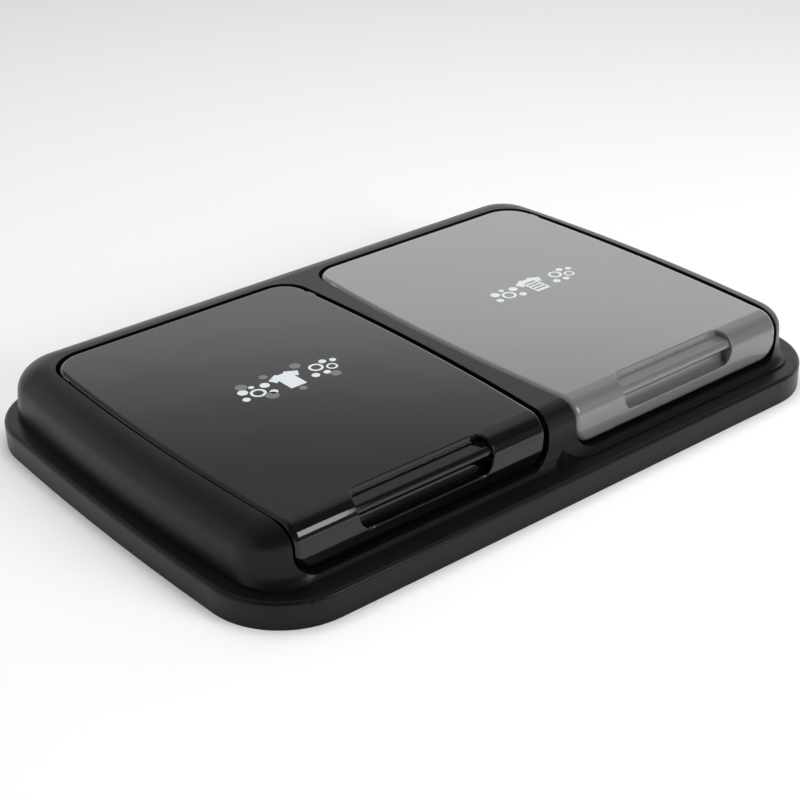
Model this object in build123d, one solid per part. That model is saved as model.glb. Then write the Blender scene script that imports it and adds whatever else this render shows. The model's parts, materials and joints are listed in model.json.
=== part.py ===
from build123d import *

import os
from math import cos, exp, radians, sin, sqrt, tan

# Lid of a two-bag laundry sorting hamper: a moulded frame with two bays, each closed by a
# flap that swings up on two short steel pins. Millimetres. X runs along the long front,
# Y to the rear and Z up; the origin is the middle of the skirt's lower edge, at its level.

# ---- skirt: the upright band that slips over the hamper's rim ----
SKIRT_HALF_X = 290.0         # at the corners; the short sides bow out past this
SKIRT_HALF_Y = 201.5
SKIRT_BOW = 7.0              # how far each short side bows out at its middle
SKIRT_CORNER = 64.0
SKIRT_WALL = 3.0
SHOULDER_RADIUS = 3.2
LEDGE_Z = 22.0               # level of the narrow ledge around the dome
LEDGE_THICKNESS = 3.0
LOCATING_WALL = 2.5          # inner wall that centres the lid on the hamper's rim
LOCATING_WALL_FOOT = 8.0     # height of that wall's lower edge

# ---- dome: the soft-edged body that rises from the ledge ----
TOP_Z = 66.3
DOME_HALF_X = 275.0
DOME_BOW = 9.0
DOME_REAR_Y = 188.5
DOME_CORNER = 40.0
DOME_LEAST_CORNER = 12.0
CORNER_SHRINK = 0.9          # of the distance that the sides have moved in
DOME_WALL = 3.0
SIDE_DRAFT = 4.9             # degrees
SIDE_RUN, SIDE_RISE = 23.0, 22.0     # the soft edge along the sides, across and down
REAR_RUN, REAR_RISE = 26.0, 25.0
STEP_HEIGHT, STEP_OUT = 1.5, 0.8     # the crisp bead at the dome's foot

# ---- front face, shared by the flaps and by the frame beside them ----
FACE_Y = -177.0              # the flap's apron
FRAME_FACE_Y = -177.8        # the frame beside the apron
BEND_RADIUS = 17.0           # bend from the top surface down to the apron
FLARE, FLARE_FADE = 8.2, 4.4 # the foot below the aprons: how far out, how soon it fades
VALLEY_HALF_X = 27.0         # half width of the valley between the two feet
VALLEY_Y = -178.5            # just ahead of the frame face, so the cut fades out in the flare

# ---- bays and flaps ----
BAY_MID_Y = 4.0              # where the bays' bowed sides stand furthest apart
BAY_OUTER_X = 257.0          # middle of the gap at BAY_MID_Y, outer side
BAY_INNER_X = 6.7            # middle of the gap at BAY_MID_Y, divider side
BAY_SIDE_RADIUS = 1970.0     # radius of the bowed sides
BAY_REAR_Y = 153.0
BAY_OUTER_CORNER, BAY_INNER_CORNER = 30.5, 25.0
HALF_GAP = 1.0               # half the gap between a flap and the frame
BAY_SILL_Z = 25.9
SILL_INNER_Y = -170.5
SILL_THICKNESS = 3.0
APRON_FOOT_Z = 28.2
APRON_CORNER = 17.0
REBATE_DEPTH = 7.5           # how deep a flap sits in its bay
REBATE_WALL = 2.5
FLANGE_WIDTH = 9.0
FLANGE_END_Y = 104.0         # behind this the bay is clear for the flap's tail to swing

FLAP_SKIN = 2.5
FLAP_RIM_DEPTH = 6.0
FLAP_EDGE_RADIUS = 4.5
RIB_THICKNESS, RIB_DEPTH = 1.8, 4.0

# ---- finger grip in each flap: a shelf let into the bend with a scoop under its nose ----
GRIP_X0, GRIP_X1 = 68.0, 193.0
GRIP_BACK_Y = FACE_Y + BEND_RADIUS    # where the bend begins
GRIP_CORNER = 11.0
SHELF_REAR_Z, SHELF_Z = 60.8, 59.2   # the shelf falls a little towards its nose
NOSE_Y, NOSE_RADIUS = -173.3, 4.8
NOSE_FOOT_Z = 53.6
SCOOP_BACK = (-166.5, 46.8)
SCOOP_LIP_Z = 41.2
GRIP_WALL = 2.5
MOUTH_RADIUS = 1.0           # rounding of the edge where the grip opens

# ---- hinges ----
HINGE_Y = 118.0
HINGE_Z = TOP_Z - 8.0
OPEN_ANGLE = 95.0
PIN_RADIUS = 2.0
PIN_HEAD_RADIUS, PIN_HEAD_THICKNESS = 4.0, 1.8
PIN_GRIP = 8.0               # length held in the boss
PIN_CLEARANCE = 0.06         # radial, in the flap's ear
EAR_THICKNESS, EAR_RADIUS = 5.0, 5.0
BOSS_RADIUS = 5.5
BOSS_REACH = 11.0            # how far a boss runs behind the bay's wall
SIDE_PLAY = 0.7
CHEEK_Y0, CHEEK_Y1 = 100.0, 132.0
CHEEK_FOOT_Z = 28.0
STOP_DEPTH = 7.0             # how far the stop stands into the bay
STOP_Z0, STOP_Z1 = 30.0, 38.0
STOP_GAP = 0.3               # left between the stop and the fully open flap

# ---- soft pads that the flaps close on ----
PAD_X, PAD_Y, PAD_Z = 5.0, 14.0, 1.4
PAD_MID_Y = -146.0

FAR = 400.0


def rounded_rectangle(half_x, front_y, rear_y, bow, front_corner, rear_corner):
    """Plan outline whose two short sides bow out."""
    middle = (front_y + rear_y) / 2
    front_right, rear_right = (half_x, front_y), (half_x, rear_y)
    front_left, rear_left = (-half_x, front_y), (-half_x, rear_y)
    sketch = make_face(
        Line(front_left, front_right)
        + ThreePointArc(front_right, (half_x + bow, middle), rear_right)
        + Line(rear_right, rear_left)
        + ThreePointArc(rear_left, (-half_x - bow, middle), front_left)
    )
    corners = sketch.vertices().sort_by(Axis.Y)
    sketch = fillet(corners[:2], front_corner)
    return fillet([v for v in sketch.vertices() if abs(v.Y - rear_y) < 0.01], rear_corner)


def drop(distance, run, rise):
    """How far an elliptical edge has moved in at a height `distance` above its start."""
    share = min(max(distance / rise, 0.0), 1.0)
    return run * (1 - sqrt(1 - share * share))


def dome_section(z, wall):
    """Outline of the dome at height z, drawn `wall` inside the outer surface."""
    draft = (z - LEDGE_Z) * tan(radians(SIDE_DRAFT))
    side = draft + drop(z - (TOP_Z - SIDE_RISE), SIDE_RUN, SIDE_RISE)
    rear = draft + drop(z - (TOP_Z - REAR_RISE), REAR_RUN, REAR_RISE)
    flare = FLARE * exp(-(z - LEDGE_Z) / FLARE_FADE)
    front = FRAME_FACE_Y - flare + drop(z - (TOP_Z - BEND_RADIUS), BEND_RADIUS, BEND_RADIUS)
    corner = max(DOME_CORNER - CORNER_SHRINK * side, DOME_LEAST_CORNER)
    return rounded_rectangle(
        DOME_HALF_X - side - wall, front + wall, DOME_REAR_Y - rear - wall, DOME_BOW,
        corner - wall, corner - wall)


def dome(wall=0.0):
    """The dome as a solid loft; with a wall, the hollow inside it."""
    turns = [radians(a) for a in (15, 30, 45, 58, 70, 80, 90)]
    levels = [LEDGE_Z + h for h in (0, 1.5, 3.5, 6.5, 11, 16)]
    levels += [TOP_Z - SIDE_RISE + SIDE_RISE * sin(t) for t in turns]
    squeeze = (TOP_Z - wall - LEDGE_Z) / (TOP_Z - LEDGE_Z)
    sections = [
        Pos(0, 0, LEDGE_Z + (z - LEDGE_Z) * squeeze) * dome_section(z, wall) for z in levels]
    return loft(sections)


def skirt_prism(inset, z0, z1):
    outline = rounded_rectangle(
        SKIRT_HALF_X - inset, -SKIRT_HALF_Y + inset, SKIRT_HALF_Y - inset, SKIRT_BOW,
        SKIRT_CORNER - inset, SKIRT_CORNER - inset)
    return Pos(0, 0, z0) * extrude(outline, z1 - z0)


def foot_prism(inset, z0, z1):
    """Upright prism on the outline of the dome's foot."""
    return Pos(0, 0, z0) * extrude(dome_section(LEDGE_Z, inset), z1 - z0)


def bay_side_x(y, grow, outer):
    """X of a bay's bowed side at y, the outline grown by `grow`."""
    sag = BAY_SIDE_RADIUS - sqrt(BAY_SIDE_RADIUS ** 2 - (y - BAY_MID_Y) ** 2)
    return BAY_OUTER_X + grow - sag if outer else BAY_INNER_X - grow + sag


def bay_outline(grow, front_y=-200.0, front_corner=0.0, rear_y=None):
    """Plan outline of the right bay, on the middle of the gap and grown by `grow`."""
    rear = BAY_REAR_Y + grow if rear_y is None else rear_y
    inner, outer = [
        [(bay_side_x(y, grow, side), y) for y in (front_y, BAY_MID_Y, rear)]
        for side in (False, True)]
    sketch = make_face(
        Line(inner[0], outer[0]) + ThreePointArc(*outer)
        + Line(outer[2], inner[2]) + ThreePointArc(*reversed(inner)))
    if rear_y is None:
        for corner, radius in ((outer[2], BAY_OUTER_CORNER), (inner[2], BAY_INNER_CORNER)):
            sketch = fillet(sketch.vertices().sort_by_distance((*corner, 0))[0], radius + grow)
    if front_corner:
        for corner in (outer[0], inner[0]):
            sketch = fillet(sketch.vertices().sort_by_distance((*corner, 0))[0], front_corner)
    return sketch


def bay_prism(grow, z0=-20.0, z1=TOP_Z + 20, **outline):
    return Pos(0, 0, z0) * extrude(bay_outline(grow, **outline), z1 - z0)


def side_view(points, x0, x1):
    """Extrude a closed line of the YZ plane along X."""
    face = make_face(Plane.YZ * points)
    return Pos(x0, 0, 0) * extrude(face, x1 - x0, dir=(1, 0, 0))


def under_surface(depth, x0=-FAR, x1=FAR, foot_z=-20.0):
    """Everything that lies deeper than `depth` under the flaps' common outer surface."""
    top, face = TOP_Z - depth, FACE_Y + depth
    bend_y, bend_z = FACE_Y + BEND_RADIUS, TOP_Z - BEND_RADIUS
    reach = (BEND_RADIUS - depth) * sqrt(0.5)
    line = (
        Line((FAR, foot_z), (FAR, top)) + Line((FAR, top), (bend_y, top))
        + ThreePointArc((bend_y, top), (bend_y - reach, bend_z + reach), (face, bend_z))
        + Line((face, bend_z), (face, foot_z)) + Line((face, foot_z), (FAR, foot_z)))
    return side_view(line, x0, x1)


def bay_block(grow, foot_z):
    """Prism on a bay's outline, its foot rounded along the sides and the rear."""
    block = bay_prism(grow, foot_z)
    foot = block.faces().sort_by(Axis.Z)[0].edges().sort_by(Axis.Y)
    return fillet(foot[1:], APRON_CORNER + grow)


def hinge_places():
    """For the right bay: X of the bay's wall and the direction from it into the bay."""
    return {
        "outer": (bay_side_x(HINGE_Y, HALF_GAP, True), -1),
        "inner": (bay_side_x(HINGE_Y, HALF_GAP, False), 1),
    }


def along_x(radius, x0, x1, y=HINGE_Y, z=HINGE_Z):
    """Cylinder between x0 and x1, by default on the hinge axis."""
    return Pos((x0 + x1) / 2, y, z) * Rot(0, 90, 0) * Cylinder(radius, abs(x1 - x0))


def box_between(x0, x1, y0, y1, z0, z1):
    return Pos((x0 + x1) / 2, (y0 + y1) / 2, (z0 + z1) / 2) * Box(
        abs(x1 - x0), abs(y1 - y0), abs(z1 - z0))


def both_sides(solid):
    return [solid, mirror(solid, Plane.YZ)]


# ---------------------------------------------------------------- the frame

def frame_shell():
    """Skirt, ledge and dome as one thin shell, still without bays."""
    skirt = skirt_prism(0, 0, LEDGE_Z)
    skirt = fillet(skirt.faces().sort_by(Axis.Z)[-1].edges(), SHOULDER_RADIUS)
    bead = foot_prism(-STEP_OUT, LEDGE_Z - 1, LEDGE_Z + STEP_HEIGHT)
    outside = skirt + bead + dome()
    outside -= valley(LEDGE_Z)
    hollow = dome(DOME_WALL) + foot_prism(DOME_WALL, -1, LEDGE_Z + 0.5)
    hollow -= Pos(0, DOME_WALL, 0) * valley(LEDGE_Z - LEDGE_THICKNESS)
    shell = outside - skirt_prism(SKIRT_WALL, -1, LEDGE_Z - LEDGE_THICKNESS) - hollow
    locating = foot_prism(0.5, LOCATING_WALL_FOOT, LEDGE_Z - LEDGE_THICKNESS)
    locating -= foot_prism(0.5 + LOCATING_WALL, 0, LEDGE_Z)
    return shell + locating


def valley(foot_z):
    """Prism that draws the frame's foot in between the two bays, from foot_z up."""
    deep, wide = VALLEY_Y, VALLEY_HALF_X
    crest = FRAME_FACE_Y - FLARE
    curve = Spline(
        (-wide, crest - 1), (-wide * 0.45, (crest + deep) / 2 - 0.5), (0, deep),
        (wide * 0.45, (crest + deep) / 2 - 0.5), (wide, crest - 1),
        tangents=[(1, 0), (1, 0)])
    side = Line((wide, crest - 1), (wide, crest - 30)) + Line((wide, crest - 30), (-wide, crest - 30))
    face = make_face(curve + side + Line((-wide, crest - 30), (-wide, crest - 1)))
    return Pos(0, 0, foot_z) * extrude(face, TOP_Z - foot_z + 20)


def bay_walls():
    """Right bay: the wall around the flap and the flange under its edge, before cutting."""
    ring = bay_prism(HALF_GAP + REBATE_WALL) & under_surface(0.6)
    ring -= under_surface(REBATE_DEPTH + REBATE_WALL, foot_z=-30)
    sill = bay_prism(HALF_GAP + REBATE_WALL, BAY_SILL_Z - SILL_THICKNESS, BAY_SILL_Z + 30)
    sill &= box_between(-FAR, FAR, FRAME_FACE_Y - 2, FACE_Y + REBATE_DEPTH + REBATE_WALL,
                        0, TOP_Z - BEND_RADIUS)
    sill &= under_surface(0.6)
    cheeks = bay_prism(HALF_GAP + REBATE_WALL, CHEEK_FOOT_Z, TOP_Z - 1.5)
    cheeks -= bay_prism(HALF_GAP)
    cheeks &= box_between(-FAR, FAR, CHEEK_Y0, CHEEK_Y1, 0, TOP_Z)
    return ring + sill + cheeks


def bay_cut():
    """Right bay: the rebate that the flap lies in, and the opening through it."""
    rebate = bay_block(HALF_GAP, BAY_SILL_Z) - under_surface(REBATE_DEPTH, foot_z=-30)
    opening = bay_prism(HALF_GAP - FLANGE_WIDTH, front_y=SILL_INNER_Y, front_corner=14.0,
                        rear_y=FLANGE_END_Y + 1)
    tail_room = bay_prism(HALF_GAP) & box_between(-FAR, FAR, FLANGE_END_Y, FAR, -30, TOP_Z + 30)
    return rebate + opening + tail_room


def hinge_supports():
    """Right bay: the bosses that hold the pins and the stops for the open flap."""
    supports = []
    for wall_x, inward in hinge_places().values():
        reach = BOSS_REACH if inward < 0 else wall_x
        face_x = wall_x + inward * (2 * HALF_GAP - SIDE_PLAY)
        boss = along_x(BOSS_RADIUS, face_x, wall_x - inward * reach)
        rib = box_between(wall_x, wall_x - inward * reach, HINGE_Y - 1.2, HINGE_Y + 1.2,
                          CHEEK_FOOT_Z, TOP_Z - 2)
        # the open flap's rim comes to rest on the slanted rear face of this stop
        lean = radians(OPEN_ANGLE - 90)
        rim_y = HINGE_Y + (TOP_Z - HINGE_Z - FLAP_RIM_DEPTH) / cos(lean)
        rest = [rim_y - (HINGE_Z - z) * tan(lean) - STOP_GAP for z in (STOP_Z0, STOP_Z1)]
        corners = [(CHEEK_Y0 + 4, STOP_Z0), (rest[0], STOP_Z0), (rest[1], STOP_Z1),
                   (CHEEK_Y0 + 4, STOP_Z1)]
        stop_end = wall_x + inward * (STOP_DEPTH + 2 * HALF_GAP)
        stop = side_view(Polyline(*corners, close=True), min(wall_x - inward, stop_end),
                         max(wall_x - inward, stop_end))
        supports += [boss, rib, stop]
    return supports


def pin_bore(wall_x, inward):
    return along_x(PIN_RADIUS, wall_x + 5 * inward, wall_x - PIN_GRIP * inward)


def lid_frame():
    frame = frame_shell()
    walls = bay_walls() & dome(0.3)
    frame = frame + both_sides(walls)
    frame = frame - both_sides(bay_cut())
    inside = dome(0.8) + foot_prism(1.0, -1, LEDGE_Z + 1)
    for support in hinge_supports():
        frame = frame + both_sides(support & inside)
    for wall_x, inward in hinge_places().values():
        frame = frame - both_sides(pin_bore(wall_x, inward))
    return frame


# ---------------------------------------------------------------- a flap

def flap_blank():
    """Right flap's outer form, solid down to the depth of its rim, edges rounded."""
    blank = bay_block(-HALF_GAP, APRON_FOOT_Z) & under_surface(0)
    surface = [f for f in blank.faces() if on_outer_surface(f)]
    rim = [e for e in blank.edges() if sum(e in f.edges() for f in surface) == 1]
    rounded = fillet(rim, FLAP_EDGE_RADIUS)
    return rounded - under_surface(FLAP_RIM_DEPTH, foot_z=-30)


def on_outer_surface(face):
    """True for the flat top, the bend and the apron."""
    centre = face.center()
    normal = face.normal_at(centre)
    ahead_or_up = normal.Y < -0.6 or normal.Z > 0.6
    return ahead_or_up and abs(normal.X) < 0.05 and face.area > 1000


def flap_hollow():
    """What is taken out of the blank to leave the skin and the rim."""
    return bay_block(-HALF_GAP - FLAP_SKIN, APRON_FOOT_Z + FLAP_SKIN) & under_surface(FLAP_SKIN)


def grip_cut():
    """The finger grip's hollow, open to the top and the front."""
    wall_foot = (GRIP_BACK_Y - 0.8, SHELF_REAR_Z)
    nose_top = (NOSE_Y + NOSE_RADIUS, SHELF_Z)
    nose_bend = (NOSE_Y + NOSE_RADIUS * (1 - sqrt(0.5)), SHELF_Z - NOSE_RADIUS * (1 - sqrt(0.5)))
    nose_face, nose_foot = (NOSE_Y, SHELF_Z - NOSE_RADIUS), (NOSE_Y, NOSE_FOOT_Z)
    lip, above, below = (FACE_Y, SCOOP_LIP_Z), (-200, TOP_Z + 10), (-200, SCOOP_LIP_Z)
    section = (
        Polyline(above, (GRIP_BACK_Y, TOP_Z + 10), (GRIP_BACK_Y, TOP_Z), wall_foot, nose_top)
        + ThreePointArc(nose_top, nose_bend, nose_face) + Line(nose_face, nose_foot)
        + ThreePointArc(nose_foot, SCOOP_BACK, lip) + Polyline(lip, below, above))
    return side_view(section, GRIP_X0, GRIP_X1) & grip_mouth()


def grip_mouth():
    """Prism with rounded corners that runs into the bend at 45 degrees."""
    rise = (GRIP_BACK_Y + TOP_Z, FACE_Y + SCOOP_LIP_Z)
    height = (rise[0] - rise[1]) * sqrt(0.5)
    middle = (rise[0] + rise[1]) / 4
    depth = (TOP_Z - FACE_Y) / 2
    plane = Plane(
        origin=((GRIP_X0 + GRIP_X1) / 2, middle - depth, middle + depth),
        x_dir=(1, 0, 0), z_dir=(0, -1, 1))
    outline = RectangleRounded(GRIP_X1 - GRIP_X0, height, GRIP_CORNER)
    return extrude(plane * outline, 60, both=True)


def grip_backing():
    """The wall behind the finger grip."""
    back, wall = GRIP_BACK_Y + GRIP_WALL, GRIP_WALL
    outline = Polyline(
        (back, TOP_Z - 1), (back, SHELF_Z - wall), (SCOOP_BACK[0] + wall, SHELF_Z - 2 * wall),
        (SCOOP_BACK[0] + wall, SCOOP_LIP_Z - 1), (FACE_Y + 5, SCOOP_LIP_Z - 2 * wall),
        (FACE_Y + 1, SCOOP_LIP_Z - 2 * wall), (FACE_Y + 1, TOP_Z - 1), close=True)
    backing = side_view(outline, GRIP_X0 - wall, GRIP_X1 + wall)
    return backing & under_surface(1.0)


def skin_depth(point):
    """How far a point lies from the flat top, the bend and the apron."""
    bend_y, bend_z = FACE_Y + BEND_RADIUS, TOP_Z - BEND_RADIUS
    if point.Y > bend_y:
        return abs(point.Z - TOP_Z)
    if point.Z < bend_z:
        return abs(point.Y - FACE_Y)
    return abs(sqrt((point.Y - bend_y) ** 2 + (point.Z - bend_z) ** 2) - BEND_RADIUS)


def on_mouth(edge):
    """True for an edge that lies in the outer surface where the grip opens."""
    points = [edge @ share for share in (0, 0.25, 0.5, 0.75, 1)]
    middle = points[2]
    beside = GRIP_X0 - 1 < middle.X < GRIP_X1 + 1 and middle.Y < GRIP_BACK_Y + 1
    return beside and middle.Z > SCOOP_LIP_Z - 1 and all(skin_depth(p) < 0.01 for p in points)


def with_grip(blank):
    """Back the grip with a wall, cut it and round the edge of its mouth."""
    cut = (blank + grip_backing() - grip_cut()).solids()[0]
    return fillet([e for e in cut.edges() if on_mouth(e)], MOUTH_RADIUS)


def flap_ribs():
    """Stiffening ribs under the skin, clear of the flange and of the grip."""
    top, foot = TOP_Z - FLAP_SKIN + 0.5, TOP_Z - FLAP_SKIN - RIB_DEPTH
    first, last = BAY_INNER_X + 24, BAY_OUTER_X - 24
    ribs = []
    for share in (0.0, 0.25, 0.5, 0.75, 1.0):
        x = first + (last - first) * share
        ribs.append(box_between(x - RIB_THICKNESS / 2, x + RIB_THICKNESS / 2, -150, 138, foot, top))
    for y in (-150, -54, 42, 138):
        ribs.append(box_between(first, last, y - RIB_THICKNESS / 2, y + RIB_THICKNESS / 2, foot, top))
    return ribs


def flap_ears():
    """The two ears that hang from the skin and turn on the pins."""
    ears = []
    for wall_x, inward in hinge_places().values():
        outer_x = wall_x + inward * 2 * HALF_GAP
        inner_x = outer_x + inward * EAR_THICKNESS
        round_end = along_x(EAR_RADIUS, outer_x, inner_x)
        web = box_between(outer_x, inner_x, HINGE_Y - EAR_RADIUS, HINGE_Y + EAR_RADIUS,
                          HINGE_Z, TOP_Z - 1)
        bore = along_x(PIN_RADIUS + PIN_CLEARANCE, outer_x - 10 * inward, inner_x + 10 * inward)
        ears.append((round_end + web - bore) & bay_prism(-HALF_GAP - 0.2))
    return ears


def right_flap():
    hollow = flap_hollow() - grip_backing()
    return with_grip(flap_blank()) - hollow + flap_ribs() + flap_ears()


# ---------------------------------------------------------------- small pieces

def hinge_pin(wall_x, inward):
    """Headed pin: pressed into the boss, the head inside the bay beyond the ear."""
    head_x = wall_x + inward * (2 * HALF_GAP + EAR_THICKNESS + SIDE_PLAY)
    shank = along_x(PIN_RADIUS, wall_x - inward * PIN_GRIP, head_x)
    shank = chamfer(shank.edges().sort_by(Axis.X)[0 if inward > 0 else -1], 0.4)
    head = along_x(PIN_HEAD_RADIUS, head_x, head_x + inward * PIN_HEAD_THICKNESS)
    head = fillet(head.edges().sort_by(Axis.X)[-1 if inward > 0 else 0], 0.8)
    return shank + head


def pad(outer):
    """Soft pad on the flange, under the flap's rim."""
    edge = bay_side_x(PAD_MID_Y, -HALF_GAP, outer)
    toward = -1 if outer else 1
    floor = TOP_Z - REBATE_DEPTH
    block = Pos(edge + toward * (PAD_X / 2 + 0.3), PAD_MID_Y, floor + PAD_Z / 2) * Box(
        PAD_X, PAD_Y, PAD_Z)
    block = fillet(block.edges().filter_by(Axis.Z), 2.0)
    return fillet(block.faces().sort_by(Axis.Z)[-1].edges(), 0.4)


def build():
    nodes = {"lid_frame": lid_frame()}
    flap = right_flap()
    nodes["right_flap"] = flap
    nodes["left_flap"] = mirror(flap, Plane.YZ)
    for place, (wall_x, inward) in hinge_places().items():
        pin = hinge_pin(wall_x, inward)
        cushion = pad(place == "outer")
        nodes[f"right_{place}_hinge_pin"] = pin
        nodes[f"left_{place}_hinge_pin"] = mirror(pin, Plane.YZ)
        nodes[f"right_{place}_pad"] = cushion
        nodes[f"left_{place}_pad"] = mirror(cushion, Plane.YZ)
    return nodes


os.makedirs("parts", exist_ok=True)
for name, shape in build().items():
    export_step(shape, f"parts/{name}.step")
    print(name, len(shape.solids()), round(shape.volume))
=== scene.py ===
# %% [markdown]
# # The lid of a laundry sorting hamper
#
# This lid covers a hamper with two bags in it. One charcoal moulding makes the frame: a skirt
# that goes over the hamper's rim, a narrow ledge, and a soft-edged dome with two bays let into
# it. A gloss black flap lies in the left bay and a silver one in the right bay. Each flap has a
# finger grip at its front and turns on two steel pins near its rear.
#
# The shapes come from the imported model. This script gives them their surfaces: a moulded grain,
# a polished gloss, a silver flake, and the ink of the printed marks. Then it lights them.

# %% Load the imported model
import json
import math

import bpy
from mathutils import Matrix, Vector


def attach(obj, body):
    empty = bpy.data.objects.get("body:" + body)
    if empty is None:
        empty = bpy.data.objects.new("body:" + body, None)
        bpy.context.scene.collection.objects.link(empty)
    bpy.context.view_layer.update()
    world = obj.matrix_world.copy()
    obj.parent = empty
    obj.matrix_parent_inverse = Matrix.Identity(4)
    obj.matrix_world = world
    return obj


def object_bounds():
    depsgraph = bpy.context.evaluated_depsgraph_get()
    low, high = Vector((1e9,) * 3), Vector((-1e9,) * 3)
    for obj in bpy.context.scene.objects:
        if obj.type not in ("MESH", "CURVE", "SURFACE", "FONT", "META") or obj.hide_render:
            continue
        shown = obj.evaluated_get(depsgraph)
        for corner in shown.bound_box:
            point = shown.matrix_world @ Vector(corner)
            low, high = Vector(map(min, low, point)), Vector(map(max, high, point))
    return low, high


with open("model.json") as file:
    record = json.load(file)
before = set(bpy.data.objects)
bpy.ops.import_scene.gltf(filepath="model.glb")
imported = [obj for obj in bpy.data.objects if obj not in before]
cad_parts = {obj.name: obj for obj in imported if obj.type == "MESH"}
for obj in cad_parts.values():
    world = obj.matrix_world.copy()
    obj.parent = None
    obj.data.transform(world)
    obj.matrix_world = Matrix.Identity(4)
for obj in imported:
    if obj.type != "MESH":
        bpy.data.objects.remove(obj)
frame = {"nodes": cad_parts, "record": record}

CAD_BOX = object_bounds()
LOW, HIGH = CAD_BOX
MM = 0.001
print("lid", [round(side / MM, 1) for side in HIGH - LOW], "mm, nodes", len(frame["nodes"]))

# %% [markdown]
# ## The camera
#
# The lid is seen from its front left, from a little under thirty degrees above, through a
# longish lens. A camera's own axes make that easy to state: `back` points from the lid to the
# camera, `right` lies level, and a small roll turns both `right` and `up` about `back`.

# %% Place the camera
CAMERA_PLACE = Vector((-0.7860, -0.9557, 0.6683))
CAMERA_AZIMUTH = math.radians(-38.99)
CAMERA_ELEVATION = math.radians(28.22)
CAMERA_ROLL = math.radians(-1.26)
SENSOR_WIDTH = 36
FOCAL_LENGTH = 75.76

back = Vector((
    math.sin(CAMERA_AZIMUTH) * math.cos(CAMERA_ELEVATION),
    -math.cos(CAMERA_AZIMUTH) * math.cos(CAMERA_ELEVATION),
    math.sin(CAMERA_ELEVATION),
))
right = Vector((math.cos(CAMERA_AZIMUTH), math.sin(CAMERA_AZIMUTH), 0))
up = back.cross(right)
roll = Matrix.Rotation(CAMERA_ROLL, 3, "Z")
turn = Matrix((right, up, back)).transposed() @ roll

camera = bpy.data.objects.new("camera", bpy.data.cameras.new("camera"))
camera.data.sensor_width = SENSOR_WIDTH
camera.data.lens = FOCAL_LENGTH
camera.data.clip_start = 0.05
camera.data.clip_end = 50
camera.matrix_world = Matrix.Translation(CAMERA_PLACE) @ turn.to_4x4()
bpy.context.scene.collection.objects.link(camera)
bpy.context.scene.camera = camera
bpy.context.scene.view_settings.view_transform = "Standard"
print("camera", round((CAMERA_PLACE - (LOW + HIGH) / 2).length, 3), "m from the lid's middle")

# %% [markdown]
# ## Node helpers
#
# Every surface here is made of shader nodes. One helper adds a node, fills in its settings and
# links its inputs, so that each material below reads as a short list of what it is made of.
# Another turns a colour as a web page writes it into the linear numbers that a shader works in.
# The last two start a material and finish it.

# %% Helpers for the materials
def linear(hex_colour):
    """sRGB hex such as 'a8a8a7' to linear RGBA."""
    shares = [int(hex_colour[i:i + 2], 16) / 255 for i in (0, 2, 4)]
    return (*[c / 12.92 if c <= 0.04045 else ((c + 0.055) / 1.055) ** 2.4 for c in shares], 1.0)


def add(tree, kind, settings=None, **inputs):
    """Add one node. An input that is a socket is linked; any other value is set.

    Inputs go by name, with underscores for spaces, or by place, as in _6 for number six.
    """
    node = tree.nodes.new("ShaderNode" + kind)
    for name, value in (settings or {}).items():
        setattr(node, name, value)
    for name, value in inputs.items():
        key = int(name[1:]) if name[0] == "_" and name[1:].isdigit() else name.replace("_", " ")
        socket = node.inputs[key]
        if isinstance(value, bpy.types.NodeSocket):
            tree.links.new(value, socket)
        else:
            socket.default_value = value
    return node


def material(name):
    """A new material and its node tree, which starts empty."""
    made = bpy.data.materials.new(name)
    made.use_nodes = True
    made.node_tree.nodes.clear()
    return made, made.node_tree


def finish_surface(tree, shader):
    """Send a shader to the material's output."""
    add(tree, "OutputMaterial", Surface=shader.outputs["BSDF"])


print("linear mid grey", [round(c, 3) for c in linear("808080")])

# %% [markdown]
# ## Charcoal polypropylene
#
# The frame is injection-moulded polypropylene, coloured charcoal in the mass. Its mould was
# spark-eroded, which leaves an even, very fine pitted grain: the surface looks matt from above
# and catches a broad, soft sheen where it bends away. Polypropylene has an IOR of 1.49. The
# grain's real pitch of about 0.15 mm is too fine to show at this size, so it is drawn at 0.6 mm.
# The pits trap part of the gloss, so the specular level is turned down. Long, faint flow lines
# and a slow unevenness of the sheen keep the large faces from looking printed.

# %% Charcoal polypropylene
GRAIN_PITCH = 0.6 * MM
FLOW_PITCH = 45 * MM


def charcoal_polypropylene():
    made, tree = material("charcoal_polypropylene")
    place = add(tree, "TexCoord").outputs["Object"]
    grain = add(tree, "TexNoise", Vector=place, Scale=1 / GRAIN_PITCH, Detail=3.0, Roughness=0.6)
    flow = add(tree, "TexNoise", Vector=place, Scale=1 / FLOW_PITCH, Detail=2.0, Distortion=0.6)
    tone = add(tree, "ValToRGB", Fac=flow.outputs["Fac"])
    tone.color_ramp.elements[0].position = 0.3
    tone.color_ramp.elements[0].color = linear("0c0c0c")
    tone.color_ramp.elements[1].position = 0.7
    tone.color_ramp.elements[1].color = linear("0f0f0f")
    gloss = add(
        tree, "MapRange", Value=flow.outputs["Fac"], From_Min=0.3, From_Max=0.7, To_Min=0.30,
        To_Max=0.36)
    pits = add(tree, "Bump", Height=grain.outputs["Fac"], Strength=0.25, Distance=0.05 * MM)
    shader = add(
        tree, "BsdfPrincipled", Base_Color=tone.outputs["Color"],
        Roughness=gloss.outputs["Result"], IOR=1.49, Specular_IOR_Level=0.23,
        Normal=pits.outputs["Normal"])
    finish_surface(tree, shader)
    return made


print("grain drawn every", GRAIN_PITCH / MM, "mm")

# %% [markdown]
# ## Gloss black ABS
#
# The left flap is ABS moulded against a polished steel face. It is almost black, and what the
# eye sees is what it mirrors. A polished moulding is never quite flat: shrinkage over the ribs
# leaves slow waves of a few centimetres, and the skin has a faint orange peel. Both are in the
# bump. A little dust lies on it, as it does on every gloss black thing.

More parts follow.
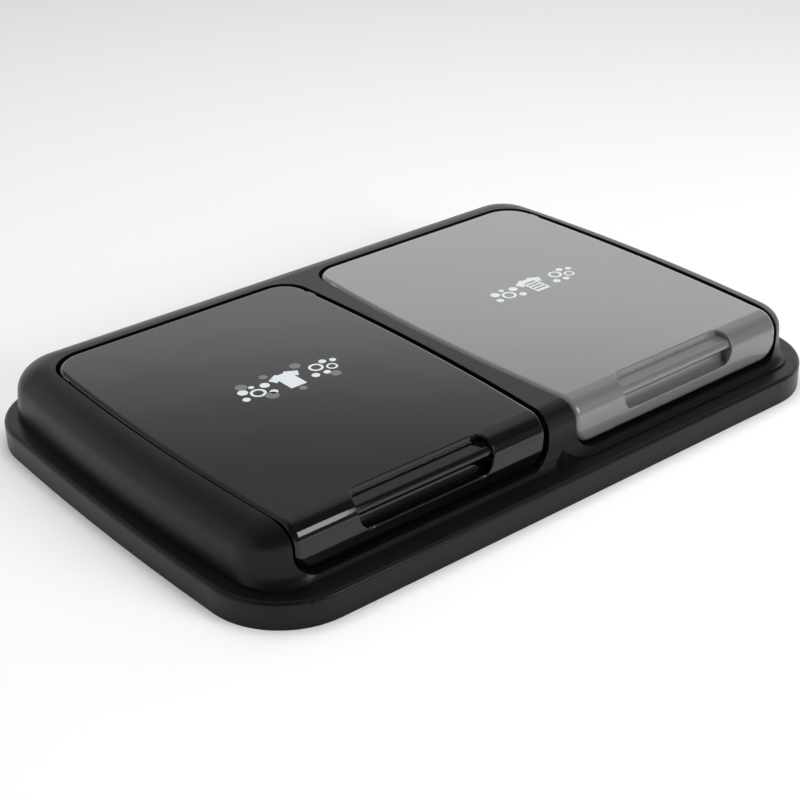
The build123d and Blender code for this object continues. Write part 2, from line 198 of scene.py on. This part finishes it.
# %% Gloss black ABS
SINK_PITCH = 60 * MM
PEEL_PITCH = 3 * MM
DUST_SPACING = 16 * MM
DUST_RADIUS = 0.3 * MM


def gloss_black_abs():
    made, tree = material("gloss_black_abs")
    place = add(tree, "TexCoord").outputs["Object"]
    sink = add(tree, "TexNoise", Vector=place, Scale=1 / SINK_PITCH, Detail=1.0)
    peel = add(tree, "TexNoise", Vector=place, Scale=1 / PEEL_PITCH, Detail=1.0)
    dust = add(tree, "TexVoronoi", Vector=place, Scale=1 / DUST_SPACING, Randomness=1.0)
    specks = add(
        tree, "MapRange", Value=dust.outputs["Distance"], From_Min=0.0,
        From_Max=DUST_RADIUS / DUST_SPACING, To_Min=1.0, To_Max=0.0)
    colour = add(
        tree, "Mix", {"data_type": "RGBA"}, _0=specks.outputs["Result"], _6=linear("060606"),
        _7=linear("5c5c5a"))
    gloss = add(tree, "MapRange", Value=specks.outputs["Result"], To_Min=0.06, To_Max=0.6)
    waves = add(tree, "Bump", Height=sink.outputs["Fac"], Strength=0.25, Distance=0.4 * MM)
    skin = add(
        tree, "Bump", Height=peel.outputs["Fac"], Strength=0.06, Distance=0.05 * MM,
        Normal=waves.outputs["Normal"])
    shader = add(
        tree, "BsdfPrincipled", Base_Color=colour.outputs[2], Roughness=gloss.outputs["Result"],
        IOR=1.48, Normal=skin.outputs["Normal"])
    finish_surface(tree, shader)
    return made


print("sink waves every", round(SINK_PITCH / MM), "mm")

# %% [markdown]
# ## Silver-flake ABS
#
# The right flap is a smoky clear ABS filled with fine aluminium flake. The flake gives a soft
# metallic glow, a little darker where flow lines turned the flakes on edge, and the clear resin
# over it gives a second, sharper gloss. So the shader is a rough base, about a third metallic,
# under a smooth coat. The flakes are 0.05 mm across in fact, drawn at 0.5 mm.

# %% Silver-flake ABS
FLAKE_PITCH = 0.5 * MM


def silver_flake_abs():
    made, tree = material("silver_flake_abs")
    place = add(tree, "TexCoord").outputs["Object"]
    flake = add(tree, "TexNoise", Vector=place, Scale=1 / FLAKE_PITCH, Detail=2.0)
    flow = add(tree, "TexNoise", Vector=place, Scale=1 / FLOW_PITCH, Detail=3.0, Distortion=1.0)
    flow_tone = add(tree, "ValToRGB", Fac=flow.outputs["Fac"])
    flow_tone.color_ramp.elements[0].position = 0.3
    flow_tone.color_ramp.elements[0].color = linear("6c6c6c")
    flow_tone.color_ramp.elements[1].position = 0.7
    flow_tone.color_ramp.elements[1].color = linear("6e6e6d")
    glint = add(
        tree, "MapRange", Value=flake.outputs["Fac"], From_Min=0.35, From_Max=0.65, To_Min=0.92,
        To_Max=1.06)
    colour = add(
        tree, "Mix", {"data_type": "RGBA", "blend_type": "MULTIPLY"}, _0=1.0,
        _6=flow_tone.outputs["Color"], _7=glint.outputs["Result"])
    lie = add(tree, "Bump", Height=flake.outputs["Fac"], Strength=0.1, Distance=0.03 * MM)
    shader = add(
        tree, "BsdfPrincipled", Base_Color=colour.outputs[2], Metallic=0.35, Roughness=0.38,
        IOR=1.52, Coat_Weight=1.0, Coat_Roughness=0.08, Normal=lie.outputs["Normal"])
    finish_surface(tree, shader)
    return made


print("flakes drawn every", FLAKE_PITCH / MM, "mm")

# %% [markdown]
# ## Zinc-plated steel and rubber
#
# The hinge pins are turned steel with a bright zinc plate: a metal, so it keeps the default
# IOR, with the fine rings that the lathe leaves round the shank and the head. The closing pads
# are black nitrile rubber, matt, and pored like any moulded rubber.

# %% Zinc-plated steel
TURNING_PITCH = 0.493 * MM
BLOTCH_PITCH = 2 * MM
WAVE_RATE = 20    # a wave texture of scale 1 turns through 20 radians in each unit of length


def zinc_plated_steel():
    made, tree = material("zinc_plated_steel")
    place = add(tree, "TexCoord").outputs["Object"]
    rings = add(
        tree, "TexWave", {"wave_type": "BANDS", "bands_direction": "X"}, Vector=place,
        Scale=2 * math.pi / (WAVE_RATE * TURNING_PITCH), Distortion=0.5, Detail=1.0)
    blotch = add(tree, "TexNoise", Vector=place, Scale=1 / BLOTCH_PITCH, Detail=2.0)
    gloss = add(
        tree, "MapRange", Value=blotch.outputs["Fac"], From_Min=0.3, From_Max=0.7, To_Min=0.22,
        To_Max=0.34)
    turned = add(tree, "Bump", Height=rings.outputs["Fac"], Strength=0.3, Distance=0.02 * MM)
    shader = add(
        tree, "BsdfPrincipled", Base_Color=linear("c4c5c3"), Metallic=1.0,
        Roughness=gloss.outputs["Result"], Normal=turned.outputs["Normal"])
    finish_surface(tree, shader)
    return made


print("lathe rings every", TURNING_PITCH / MM, "mm")

# %% Nitrile rubber
PORE_PITCH = 0.5 * MM


def nitrile_rubber():
    made, tree = material("nitrile_rubber")
    place = add(tree, "TexCoord").outputs["Object"]
    pores = add(tree, "TexNoise", Vector=place, Scale=1 / PORE_PITCH, Detail=3.0)
    tone = add(tree, "ValToRGB", Fac=pores.outputs["Fac"])
    tone.color_ramp.elements[0].color = linear("151515")
    tone.color_ramp.elements[1].color = linear("262625")
    pitted = add(tree, "Bump", Height=pores.outputs["Fac"], Strength=0.4, Distance=0.05 * MM)
    shader = add(
        tree, "BsdfPrincipled", Base_Color=tone.outputs["Color"], Roughness=0.78, IOR=1.52,
        Normal=pitted.outputs["Normal"])
    finish_surface(tree, shader)
    return made


print("pores every", PORE_PITCH / MM, "mm")

# %% Give each CAD node its material
FINISHES = {
    "charcoal_plastic": charcoal_polypropylene(),
    "black_plastic": gloss_black_abs(),
    "silver_plastic": silver_flake_abs(),
    "pin_steel": zinc_plated_steel(),
    "pad_rubber": nitrile_rubber(),
}
for row in frame["record"]["subparts"]:
    node = frame["nodes"][row["node"]]
    node.data.materials.clear()
    node.data.materials.append(FINISHES[row["material_slot"]])
    print(row["node"], "is", FINISHES[row["material_slot"]].name)

# %% [markdown]
# ## The printed marks
#
# Each flap carries a small print that says what washing goes under it: here a shirt among suds,
# plain for whites on the black flap and striped for coloureds on the silver one, with a few grey
# suds round the plain shirt. Pad-printed ink stands a few hundredths of a millimetre proud and
# has crisp edges, so every mark is a real outline, filled and given a thickness. A 2D curve does
# that well, because it fills what its outlines enclose and leaves inner outlines open.

# %% Ink
INK_THICKNESS = 0.04 * MM
MOTTLE_PITCH = 1.5 * MM


def printing_ink(name, hex_colour):
    made, tree = material(name)
    place = add(tree, "TexCoord").outputs["Object"]
    mottle = add(tree, "TexNoise", Vector=place, Scale=1 / MOTTLE_PITCH, Detail=3.0)
    strength = add(
        tree, "MapRange", Value=mottle.outputs["Fac"], From_Min=0.3, From_Max=0.7, To_Min=0.9,
        To_Max=1.0)
    colour = add(
        tree, "Mix", {"data_type": "RGBA", "blend_type": "MULTIPLY"}, _0=1.0,
        _6=linear(hex_colour), _7=strength.outputs["Result"])
    shader = add(
        tree, "BsdfPrincipled", Base_Color=colour.outputs[2], Roughness=0.45, IOR=1.5)
    finish_surface(tree, shader)
    return made


WHITE_INK = printing_ink("white_ink", "d5dde0")
GREY_INK = printing_ink("grey_ink", "6a6a6a")
print("ink", INK_THICKNESS / MM, "mm thick")

# %% Shirt and suds, in millimetres from the middle of a mark
SHIRT = [
    (-4.5, 14.0), (-2.5, 12.0), (2.5, 12.0), (4.5, 14.0), (14.0, 8.5), (10.5, 1.5), (7.5, 3.5),
    (7.5, -13.0), (-7.5, -13.0), (-7.5, 3.5), (-10.5, 1.5), (-14.0, 8.5)]
STRIPE_HEIGHT = 2.4
STRIPE_LEVELS = (-9.5, -5.0, -0.5, 4.0)
STRIPE_HALF_WIDTH = 6.0
SUDS = [
    (-31, -2, 6.5), (-20, 5, 4.0), (-40, 6, 4.2), (-44, -5, 3.2), (-20.5, -8, 3.4), (-30, 9, 2.4),
    (28, 3, 6.2), (39, -3.5, 4.8), (20, -7.5, 3.4), (46, 5, 2.8), (30, -9, 3.0), (38, 8, 3.2)]
GREY_SUDS = [
    (-25, -12, 5.5), (-36, 14, 5.0), (-13, 17, 3.6), (17, 16, 4.6), (34, -15, 4.4), (0, -18, 3.2)]
FILM = 0.36          # thickness of a bubble's printed edge, as a share of its radius
SOLID_BUBBLE = 4.3   # smaller bubbles are printed solid
CIRCLE_POINTS = 40


def circle(x, y, radius):
    """The corners of a many-sided ring that reads as round."""
    turns = [2 * math.pi * n / CIRCLE_POINTS for n in range(CIRCLE_POINTS)]
    return [(x + radius * math.cos(t), y + radius * math.sin(t)) for t in turns]


def bubbles(suds):
    """A ring for each large bubble and a disc for each small one."""
    outlines = []
    for x, y, radius in suds:
        outlines.append(circle(x, y, radius))
        if radius > SOLID_BUBBLE:
            outlines.append(circle(x, y, radius * (1 - FILM)))
    return outlines


def stripes():
    """Bands left open across the shirt, since outlines inside an outline stay unfilled."""
    half = STRIPE_HALF_WIDTH
    bands = [(low, low + STRIPE_HEIGHT) for low in STRIPE_LEVELS]
    return [[(-half, low), (half, low), (half, top), (-half, top)] for low, top in bands]


print("bubbles", len(SUDS), "stripes", len(stripes()))

# %% Print a mark on a flap
# The middle of each mark is given in millimetres from the middle of the lid.
FLAP_TOP = HIGH.z
WHITES_MIDDLE = (-123, -1)
COLOURS_MIDDLE = (141, 2)


def printed(name, outlines, body, ink, middle):
    """Fill outlines as a thin layer of ink that rides on a body."""
    curve = bpy.data.curves.new(name, "CURVE")
    curve.dimensions = "2D"
    curve.fill_mode = "BOTH"
    curve.extrude = INK_THICKNESS / 2
    for outline in outlines:
        spline = curve.splines.new("POLY")
        spline.points.add(len(outline) - 1)
        for point, (x, y) in zip(spline.points, outline):
            point.co = ((middle[0] + x) * MM, (middle[1] + y) * MM, 0, 1)
        spline.use_cyclic_u = True
    source = bpy.data.objects.new(name + "_curve", curve)
    mesh = bpy.data.meshes.new_from_object(source)
    bpy.data.objects.remove(source)
    mesh.name = name
    mesh.transform(Matrix.Translation((0, 0, FLAP_TOP + INK_THICKNESS / 2)))
    piece = bpy.data.objects.new(name, mesh)
    bpy.context.scene.collection.objects.link(piece)
    piece.data.materials.clear()
    piece.data.materials.append(ink)
    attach(piece, body)
    print(name, "has", len(mesh.polygons), "faces")


plain_shirt = [SHIRT] + bubbles(SUDS)
striped_shirt = [SHIRT] + stripes() + bubbles(SUDS)
grey_discs = [circle(*drop) for drop in GREY_SUDS]
printed("grey_suds_print", grey_discs, "left_flap", GREY_INK, WHITES_MIDDLE)
printed("whites_print", plain_shirt, "left_flap", WHITE_INK, WHITES_MIDDLE)
printed("colours_print", striped_shirt, "right_flap", WHITE_INK, COLOURS_MIDDLE)

# %% [markdown]
# ## Floor and light
#
# The lid lies on a pale seamless floor. The flaps mirror the studio, so the walls matter as
# much as the lamps. The wall behind the lid is bright up to twenty-five degrees and falls
# quickly to a darker band at thirty. Above that lies a ceiling of middling brightness, which
# dims straight overhead. The front half of the room is much darker and the left side somewhat
# darker, which keeps the frame's near faces deep. One soft box stands in front, on the right.
# Two wide fills, from above and from the front, brighten the matt surfaces and aren't mirrored.

# %% Floor
FLOOR_SIZE = 12.0


def floor():
    mesh = bpy.data.meshes.new("floor")
    half = FLOOR_SIZE / 2
    signs = ((-1, -1), (1, -1), (1, 1), (-1, 1))
    corners = [(half * x, half * y, LOW.z) for x, y in signs]
    mesh.from_pydata(corners, [], [(0, 1, 2, 3)])
    made = bpy.data.objects.new("floor", mesh)
    bpy.context.scene.collection.objects.link(made)
    paper, tree = material("pale_paper")
    shader = add(tree, "BsdfPrincipled", Base_Color=linear("f4f4f3"), Roughness=0.9)
    finish_surface(tree, shader)
    mesh.materials.append(paper)


floor()
print("floor", FLOOR_SIZE, "m wide")

# %% Studio walls
# Each level is the brightness at the sine of a height angle, from the horizon to straight up.
WALL_LEVELS = (
    (0.0, 1.3), (0.43, 1.3), (0.455, 0.95), (0.475, 0.7), (0.505, 0.5), (0.7, 0.7), (0.85, 0.7),
    (1.0, 0.45))
FRONT_SHARE = 0.2    # brightness of the room's front half, as a share of its rear half
LEFT_SHARE = 0.65    # brightness of its left side, as a share of its right side


def studio():
    world = bpy.data.worlds.new("studio")
    bpy.context.scene.world = world
    world.use_nodes = True
    tree = world.node_tree
    tree.nodes.clear()
    way = add(tree, "TexCoord").outputs["Generated"]
    split = add(tree, "SeparateXYZ", Vector=way)
    height = add(tree, "ValToRGB", Fac=split.outputs["Z"])
    stops = height.color_ramp.elements    # a new ramp has one stop at 0 and one at 1
    for sine, _ in WALL_LEVELS[1:-1]:
        stops.new(sine)
    for stop, (_, level) in zip(stops, WALL_LEVELS):
        stop.color = (level, level, level, 1)
    front = add(
        tree, "MapRange", {"interpolation_type": "SMOOTHSTEP"}, Value=split.outputs["Y"],
        From_Min=-0.25, From_Max=0.15, To_Min=FRONT_SHARE, To_Max=1.0)
    side = add(
        tree, "MapRange", Value=split.outputs["X"], From_Min=-0.3, From_Max=0.6,
        To_Min=LEFT_SHARE, To_Max=1.0)
    dimmed = add(
        tree, "Math", {"operation": "MULTIPLY"}, _0=front.outputs["Result"],
        _1=side.outputs["Result"])
    walls = add(
        tree, "Mix", {"data_type": "RGBA", "blend_type": "MULTIPLY"}, _0=1.0,
        _6=height.outputs["Color"], _7=dimmed.outputs["Value"])
    sky = add(tree, "Background", Color=walls.outputs[2], Strength=1.0)
    add(tree, "OutputWorld", Surface=sky.outputs["Background"])
    print("wall stops", [round(stop.position, 3) for stop in stops])


studio()

# %% Soft boxes
def soft_box(name, place, aim, width, height, power):
    """A flat lamp, with its size in metres and its power in watts."""
    light = bpy.data.lights.new(name, "AREA")
    light.shape = "RECTANGLE"
    light.size = width
    light.size_y = height
    light.energy = power
    made = bpy.data.objects.new(name, light)
    made.location = place
    made.rotation_mode = "QUATERNION"
    made.rotation_quaternion = (Vector(aim) - Vector(place)).to_track_quat("-Z", "Y")
    bpy.context.scene.collection.objects.link(made)
    return made


soft_box(
    "front_box", place=(0.46, -1.45, 0.75), aim=(0.46, -0.1, 0), width=0.42, height=0.6, power=5.6)
overhead = soft_box(
    "overhead_fill", place=(0, 0, 2.2), aim=(0, 0, 0), width=2.5, height=2.5, power=38)
front_fill = soft_box(
    "front_fill", place=(0.5, -2.0, 0.7), aim=(0, 0, 0), width=1.4, height=1.0, power=24)
for fill in (overhead, front_fill):
    fill.visible_glossy = False
